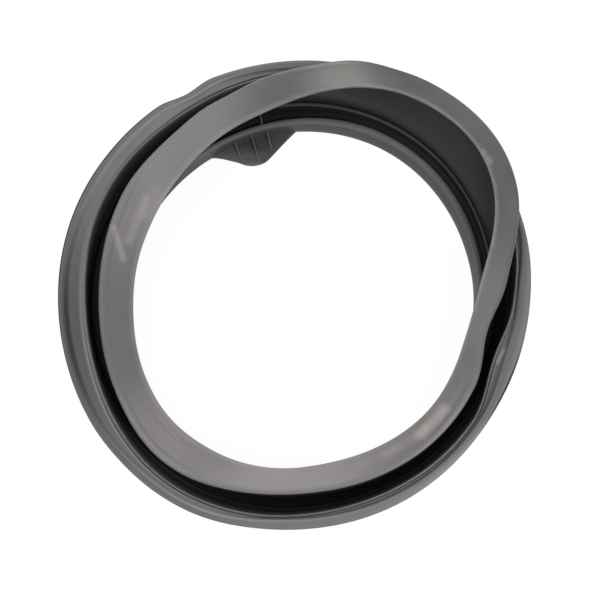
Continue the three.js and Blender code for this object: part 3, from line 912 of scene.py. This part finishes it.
class Shader:
    """The nodes of one material."""

    def __init__(self, name):
        self.material = bpy.data.materials.new(name)
        self.material.use_nodes = True
        self.tree = self.material.node_tree
        self.tree.nodes.clear()

    def feed(self, socket, value):
        if isinstance(value, Signal):
            self.tree.links.new(value.socket, socket)
        else:
            socket.default_value = value

    def node(self, kind, settings=None, inputs=None, output=0):
        """Adds a node, sets it up, feeds its sockets and gives one of its outputs."""
        made = self.tree.nodes.new(kind)
        for key, value in (settings or {}).items():
            setattr(made, key, value)
        for key, value in (inputs or {}).items():
            self.feed(made.inputs[key], value)
        return Signal(self, made.outputs[output]) if made.outputs else None

    def math(self, operation, a, b=0.0):
        return self.node("ShaderNodeMath", {"operation": operation}, {0: a, 1: b})

    def mix(self, factor, a, b):
        """Colour a where the factor is 0, and b where it is 1."""
        pair = [value if isinstance(value, Signal) else (*value, 1.0) for value in (a, b)]
        return self.node("ShaderNodeMix", {"data_type": "RGBA"},
                         {0: factor, 6: pair[0], 7: pair[1]}, output=2)

    def split(self, vector):
        """The three numbers of a vector."""
        return [self.node("ShaderNodeSeparateXYZ", None, {0: vector}, output=i) for i in range(3)]

    def vector(self, x, y, z):
        return self.node("ShaderNodeCombineXYZ", None, {0: x, 1: y, 2: z})

    def noise(self, spot, kind):
        """Cloudy noise from 0 to 1, where kind gives its scale, detail and roughness."""
        scale, detail, roughness = kind
        return self.node("ShaderNodeTexNoise", {"noise_dimensions": "3D"},
                         {"Vector": spot, "Scale": scale, "Detail": detail, "Roughness": roughness})


def mark_mask(shader, x, y, mark, breakup):
    """How strongly one pale mark shows, scuff and painted sheen alike, from its distance to the
    streak's middle line.
    """
    a = place(mark.angle_a, mark.radius_a, 0)
    b = place(mark.angle_b, mark.radius_b, 0)
    run = b - a
    share = (((x - a.x) * run.x + (y - a.y) * run.y) / run.length_squared).clamped()
    off_x = x - (share * run.x + a.x)
    off_y = y - (share * run.y + a.y)
    away = (off_x * off_x + off_y * off_y) ** 0.5 + (breakup - 0.5) * mark.half_width
    return (1.0 - away.rise(0.0, mark.half_width)) * mark.strength


def rubber_material(look):
    """Matt moulded rubber: cloudy tone with painted sheen, fine streaks along the ring, grain, painted
    shade with soil, and painted highlights with rubbed marks.
    """
    shader = Shader("grey_rubber_skin")
    spot = shader.node("ShaderNodeTexCoord", output=3)
    x, y, z = shader.split(spot)
    across_x = x - RING_AXIS.x
    across_y = y - RING_AXIS.y
    radius = (across_x * across_x + across_y * across_y) ** 0.5
    across = radius * STREAK_RADIUS_SCALE + z * STREAK_HEIGHT_SCALE
    streaks = shader.noise(shader.vector(across_x / radius, across_y / radius, across), STREAKS)
    clouds = shader.noise(spot, CLOUDS)
    specks = shader.noise(spot, SPECKS)
    grain = shader.noise(spot, GRAIN)
    # Painted shade with soil, painted highlight with rubbing, and painted sheen and shade on the lip
    soil, rub, bloom_and_sheen = (shader.node("ShaderNodeAttribute", {"attribute_name": name}, output=2)
                        for name in FINISHES)

    tone = (clouds - 0.5) * TONE_CLOUDS + (streaks - 0.5) * TONE_STREAKS
    tone = tone + (specks - 0.5) * TONE_SPECKS + bloom_and_sheen
    pale = [c * PALE_SHARE for c in look.bloom_and_sheen]
    dark = [c * DARK_SHARE for c in look.rubber]
    skin = shader.mix((tone * 0.5 + 0.5).clamped(), dark, pale)
    # Pale mix: painted highlights and rubbing along edges, scuffs, and painted sheen on the lower
    # right lip
    highlight_and_scuff_mask = rub * (HIGHLIGHT_MEAN + (streaks - 0.5) * HIGHLIGHT_VARIATION) * HIGHLIGHT_STRENGTH
    for mark in MARKS:
        highlight_and_scuff_mask = highlight_and_scuff_mask + mark_mask(shader, x, y, mark, specks) * z.rise(MARK_FLOOR, MARK_CEILING)
    skin = shader.mix(highlight_and_scuff_mask.clamped(), skin, look.highlight_and_scuff)

    roughness = look.roughness + (clouds - 0.5) * ROUGH_CLOUDS
    roughness = roughness + (streaks - 0.5) * ROUGH_STREAKS + highlight_and_scuff_mask * ROUGH_HIGHLIGHT_AND_SCUFF
    height = grain * HEIGHT_GRAIN + streaks * HEIGHT_STREAKS + specks * HEIGHT_SPECKS
    normal = shader.node("ShaderNodeBump", None,
                         {"Strength": BUMP_STRENGTH, "Distance": BUMP_DISTANCE, "Height": height})
    surface = shader.node("ShaderNodeBsdfPrincipled", None, {
        "Base Color": skin,
        "Roughness": roughness,
        "Normal": normal,
        "Specular IOR Level": RUBBER_SPECULAR,
    })
    # Near-black matt surface mixed in as painted shade down in the folds and gap, with some dirt
    shade_and_dirt = shader.node("ShaderNodeBsdfPrincipled", None, {
        "Base Color": (*look.fold_shade_and_dirt, 1.0),
        "Roughness": SHADE_AND_SOIL_ROUGHNESS,
        "Normal": normal,
        "Specular IOR Level": SHADE_AND_SOIL_SPECULAR,
    })
    shaded_and_soiled = shader.node("ShaderNodeMixShader", None,
                         {0: (soil * SHADE_AND_SOIL_STRENGTH).clamped(), 1: surface, 2: shade_and_dirt})
    shader.node("ShaderNodeOutputMaterial", None, {"Surface": shaded_and_soiled})
    return shader.material


def floor_material():
    """White floor: seen as white paper that keeps a faint shadow, and lights as plain grey."""
    shader = Shader("white_floor")
    paths = [shader.node("ShaderNodeLightPath", output=name)
             for name in ("Is Camera Ray", "Is Glossy Ray", "Is Transmission Ray")]
    seen = (paths[0] + paths[1] + paths[2]).clamped()
    plain = shader.node("ShaderNodeBsdfDiffuse", None, {"Color": FLOOR_LIGHT_GREY})
    faint = shader.node("ShaderNodeBsdfDiffuse", None, {"Color": FLOOR_SHADOW_GREY})
    glow = shader.node("ShaderNodeEmission", None, {"Color": FLOOR_WHITE, "Strength": FLOOR_GLOW})
    paper = shader.node("ShaderNodeAddShader", None, {0: faint, 1: glow})
    surface = shader.node("ShaderNodeMixShader", None, {0: seen, 1: plain, 2: paper})
    shader.node("ShaderNodeOutputMaterial", None, {"Surface": surface})
    return shader.material


class SEAL_OT_moulding(bpy.types.Operator):
    """Makes the one-piece rubber seal: ring, folds, lip, collar, drip tab and its ribs"""

    bl_idname = "seal.moulding"
    bl_label = "Make Seal"

    def execute(self, context):
        sizes = context.scene.seal_sizes
        shape = bmesh.new()
        add_ring(shape, sizes)
        ring_verts = len(shape.verts)
        add_tab(shape, sizes)
        # Painted shade on the tab; the ribs and the hollow's web get a little shade and a painted
        # highlight
        finish_since(shape, ring_verts, TAB_SHADE_AND_SOIL, 0)
        tab_verts = len(shape.verts)
        add_webs(shape, sizes)
        finish_since(shape, tab_verts, RIB_SHADE_AND_SOIL, RIB_HIGHLIGHT)
        bmesh.ops.recalc_face_normals(shape, faces=shape.faces)
        for face in shape.faces:
            face.smooth = True
        mesh = bpy.data.meshes.new("door_seal_moulding")
        shape.to_mesh(mesh)
        shape.free()
        mesh.set_sharp_from_angle(angle=math.radians(SHARP_ANGLE))
        piece = bpy.data.objects.new("door_seal_moulding", mesh)
        context.scene.collection.objects.link(piece)
        mesh.materials.append(rubber_material(context.scene.seal_look))
        if len(mesh.polygons) < sizes.stations:
            raise RuntimeError("the seal's skin wasn't made")
        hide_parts(NODE)
        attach(piece, "root")
        return {"FINISHED"}


def add_lamp(scene, name, power, size, spot, tint):
    """A square soft lamp that faces the middle of the seal."""
    data = bpy.data.lights.new(name, "AREA")
    data.energy = power
    data.color = tint
    data.shape = "SQUARE"
    data.size = size
    lamp = bpy.data.objects.new(name, data)
    scene.collection.objects.link(lamp)
    lamp.location = spot
    lamp.rotation_euler = (LAMP_TARGET - spot).to_track_quat("-Z", "Y").to_euler()


class SEAL_OT_stage(bpy.types.Operator):
    """Sets the white floor, the soft lamps, the even sky and the camera"""

    bl_idname = "seal.stage"
    bl_label = "Set Stage"

    def execute(self, context):
        scene = context.scene
        stage = scene.seal_stage
        self.add_floor(scene)
        self.add_sky(scene, stage)
        add_lamp(scene, "ceiling_lamp", stage.ceiling, CEILING_SIZE, CEILING_SPOT, PLAIN)
        add_lamp(scene, "far_lamp", stage.far, FAR_SIZE, FAR_SPOT, WARM)
        add_lamp(scene, "near_lamp", stage.near, NEAR_SIZE, NEAR_SPOT, PLAIN)
        self.add_camera(scene)
        scene.view_settings.view_transform = "Standard"
        return {"FINISHED"}

    def add_floor(self, scene):
        shape = bmesh.new()
        bmesh.ops.create_grid(shape, x_segments=4, y_segments=4, size=FLOOR_HALF_WIDTH)
        mesh = bpy.data.meshes.new("floor")
        shape.to_mesh(mesh)
        shape.free()
        mesh.materials.append(floor_material())
        floor = bpy.data.objects.new("floor", mesh)
        scene.collection.objects.link(floor)
        floor.location.z = -FLOOR_DEPTH

    def add_sky(self, scene, stage):
        world = bpy.data.worlds.new("even_sky")
        world.use_nodes = True
        scene.world = world
        sky = world.node_tree.nodes["Background"]
        sky.inputs["Color"].default_value = (*COOL, 1.0)
        sky.inputs["Strength"].default_value = stage.sky

    def add_camera(self, scene):
        tilt = math.radians(CAMERA_TILT)
        lean = math.radians(CAMERA_LEAN)
        flat = math.sin(tilt)
        back = Vector((math.cos(lean) * flat, math.sin(lean) * flat, math.cos(tilt)))
        right = (-back).cross(Vector((0, 1, 0))).normalized()
        up = back.cross(right)
        data = bpy.data.cameras.new("camera")
        data.sensor_width = SENSOR_WIDTH
        data.lens = SENSOR_WIDTH * CAMERA_DISTANCE / (CAMERA_SCALE * PICTURE_WIDTH)
        camera = bpy.data.objects.new("camera", data)
        scene.collection.objects.link(camera)
        turn = Matrix((right, up, back)).transposed().to_4x4()
        camera.matrix_world = Matrix.Translation(CAMERA_TARGET + back * CAMERA_DISTANCE) @ turn
        scene.camera = camera


class SEAL_PT_panel(bpy.types.Panel):
    """Sizes, colours and light of the door seal"""

    bl_idname = "SEAL_PT_panel"
    bl_label = "Door Seal"
    bl_space_type = "VIEW_3D"
    bl_region_type = "UI"
    bl_category = "Door Seal"

    def draw(self, context):
        scene = context.scene
        for settings in (scene.seal_sizes, scene.seal_look, scene.seal_stage):
            box = self.layout.box()
            for name in settings.__annotations__:
                box.prop(settings, name)
        for operator in OPERATORS:
            self.layout.operator(operator.bl_idname)


GROUPS = {"seal_sizes": SealSizes, "seal_look": SealLook, "seal_stage": SealStage}
OPERATORS = (SEAL_OT_moulding, SEAL_OT_stage)


def register():
    for name, group in GROUPS.items():
        bpy.utils.register_class(group)
        setattr(bpy.types.Scene, name, PointerProperty(type=group))
    for kind in (*OPERATORS, SEAL_PT_panel):
        bpy.utils.register_class(kind)


def unregister():
    for kind in (SEAL_PT_panel, *OPERATORS):
        bpy.utils.unregister_class(kind)
    for name, group in GROUPS.items():
        delattr(bpy.types.Scene, name)
        bpy.utils.unregister_class(group)


def main():
    register()
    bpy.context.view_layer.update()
    bpy.ops.seal.moulding()
    bpy.ops.seal.stage()


if __name__ == "__main__":
    main()
